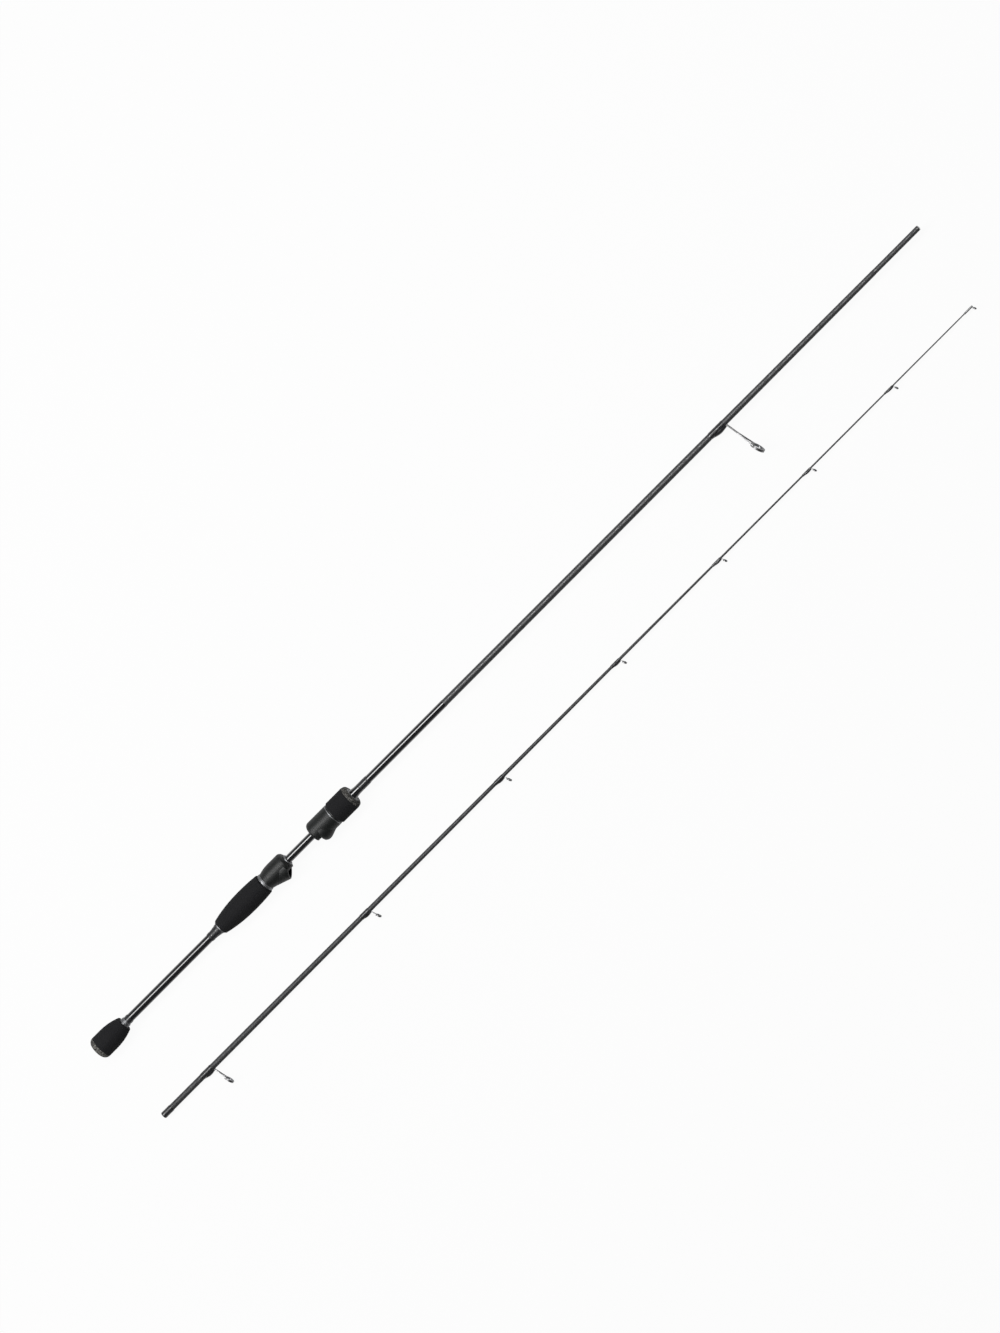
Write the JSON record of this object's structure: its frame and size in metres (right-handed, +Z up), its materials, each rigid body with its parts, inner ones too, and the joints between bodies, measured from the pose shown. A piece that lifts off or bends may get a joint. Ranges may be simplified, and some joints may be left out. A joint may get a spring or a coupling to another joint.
{
  "type": "spinning rod",
  "caption": "Take-apart light spinning rod: butt section with split foam grips, screw reel seat and spigot, beside the tip section with its socket and leaning single-foot line guides.",
  "frame": {"origin": "centre of the butt cap's flat end face, on the butt section's axis", "axes": "+X along both sections towards the tip; the guides and the reel side face -Y; +Z up from the surface that the two sections lie on"},
  "size_m": [1.029, 0.113, 0.0222],
  "materials": {
    "foam": "matte closed-cell foam",
    "rubber_cork": "matte speckled rubberised cork",
    "bright_metal": "polished",
    "gloss_black": "deep gloss",
    "winding": "thread under clear gloss resin",
    "carbon": "satin carbon weave",
    "soft_plastic": "soft-touch matte",
    "titanium": "satin",
    "ceramic": "polished"
  },
  "bodies": {
    "butt_section": {"butt_cap": "rubber_cork", "butt_grip": "foam", "butt_check": "bright_metal", "butt_winding": "winding", "handle_tube": "gloss_black", "grip_cone": "gloss_black", "grip_check": "bright_metal", "rear_grip": "foam", "trim_ring": "bright_metal", "rear_hood": "soft_plastic", "rear_hood_ring": "bright_metal", "thread_barrel": "soft_plastic", "front_cone": "gloss_black", "front_winding": "winding", "butt_blank": "carbon", "spigot_plug": "gloss_black", "guide_1_frame": "titanium", "guide_1_ring": "ceramic", "guide_1_wrap": "winding"},
    "front_hood": {"front_hood": "soft_plastic", "hood_ring": "bright_metal"},
    "foregrip": {"lock_nut": "soft_plastic", "foregrip": "foam", "foregrip_cap": "rubber_cork", "foregrip_check": "bright_metal"},
    "tip_section": {"tip_blank": "carbon", "socket_winding": "winding", "guide_2_frame": "titanium", "guide_2_ring": "ceramic", "guide_2_wrap": "winding", "guide_3_frame": "titanium", "guide_3_ring": "ceramic", "guide_3_wrap": "winding", "guide_4_frame": "titanium", "guide_4_ring": "ceramic", "guide_4_wrap": "winding", "guide_5_frame": "titanium", "guide_5_ring": "ceramic", "guide_5_wrap": "winding", "guide_6_frame": "titanium", "guide_6_ring": "ceramic", "guide_6_wrap": "winding", "guide_7_frame": "titanium", "guide_7_ring": "ceramic", "guide_7_wrap": "winding", "guide_8_frame": "titanium", "guide_8_ring": "ceramic", "guide_8_wrap": "winding", "tip_top_frame": "titanium", "tip_top_ring": "ceramic"}
  },
  "joints": [
    {"name": "front_hood_slide", "type": "slide", "parent": "butt_section", "child": "front_hood", "axis": [-1, 0, 0], "range_m": [0, 0.012]},
    {"name": "foregrip_turn", "type": "hinge", "parent": "front_hood", "child": "foregrip", "pos_m": [0.3, 0, 0], "axis": [-1, 0, 0], "range_deg": [0, 2880]},
    {"name": "tip_section_slide", "type": "slide", "parent": "butt_section", "child": "tip_section", "axis": [1, 0, 0], "range_m": [0, 1.03]}
  ],
  "couplings": [
    {"joint": "front_hood_slide", "follows": "foregrip_turn", "m_per_rad": 0.0002387}
  ]
}
